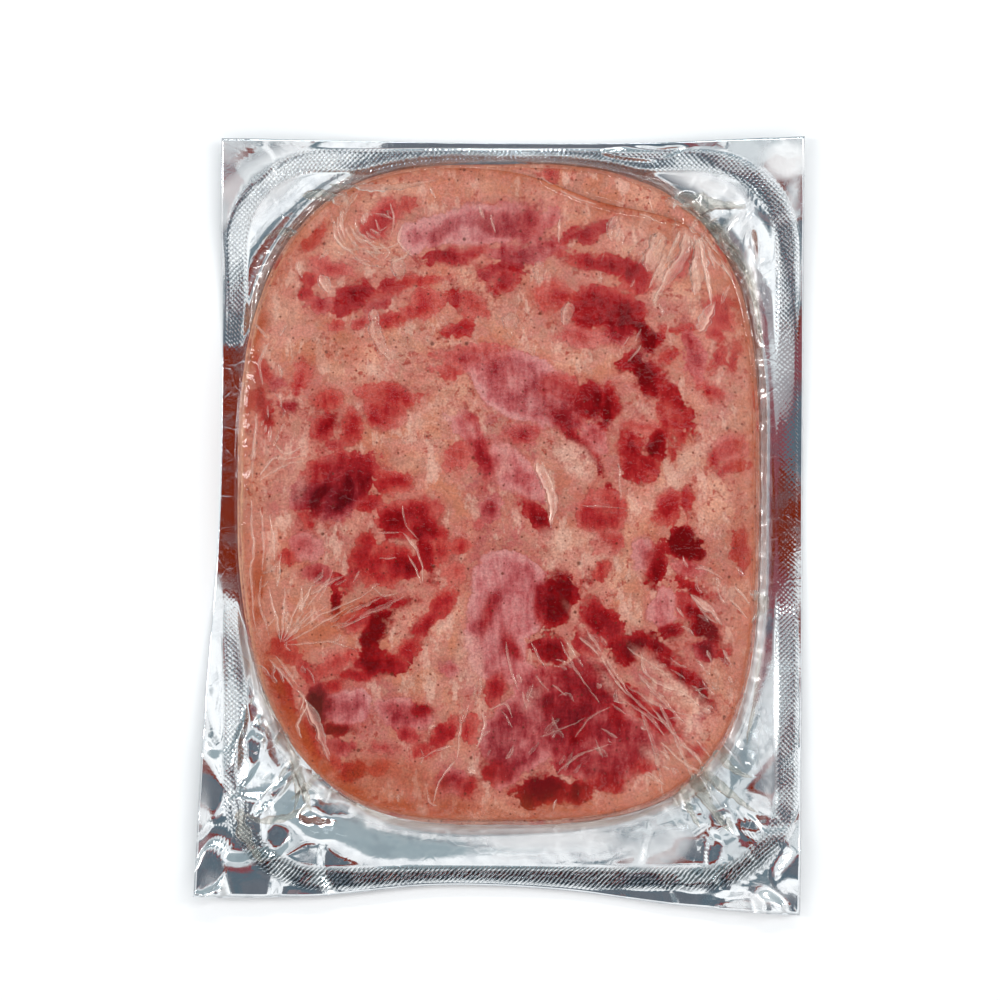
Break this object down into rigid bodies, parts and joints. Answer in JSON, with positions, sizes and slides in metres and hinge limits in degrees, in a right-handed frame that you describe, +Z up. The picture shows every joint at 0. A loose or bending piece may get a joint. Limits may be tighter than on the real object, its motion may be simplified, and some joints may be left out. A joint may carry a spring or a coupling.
{
  "type": "pack of sliced ham",
  "caption": "Flat rectangular vacuum pack: a foil backing and a clear film drawn tight over a stack of rounded pressed ham slices, welded together all round.",
  "frame": {"origin": "middle of the pack's outline, at the level of the table under the foil", "axes": "+X across the pack's width, +Y along its length, +Z up out of the clear side"},
  "size_m": [0.1342, 0.1712, 0.012],
  "materials": {
    "foil": "bright laminated foil, knurled along the weld",
    "film": "clear glossy film with fine creases",
    "ham": "moist pressed ham, pale pink with dark red lean pieces"
  },
  "bodies": {
    "root": {"foil_backing": "foil", "ham_slice_1": "ham", "ham_slice_2": "ham", "ham_slice_3": "ham", "ham_slice_4": "ham", "ham_slice_5": "ham", "ham_slice_6": "ham", "clear_film": "film"}
  },
  "joints": []
}
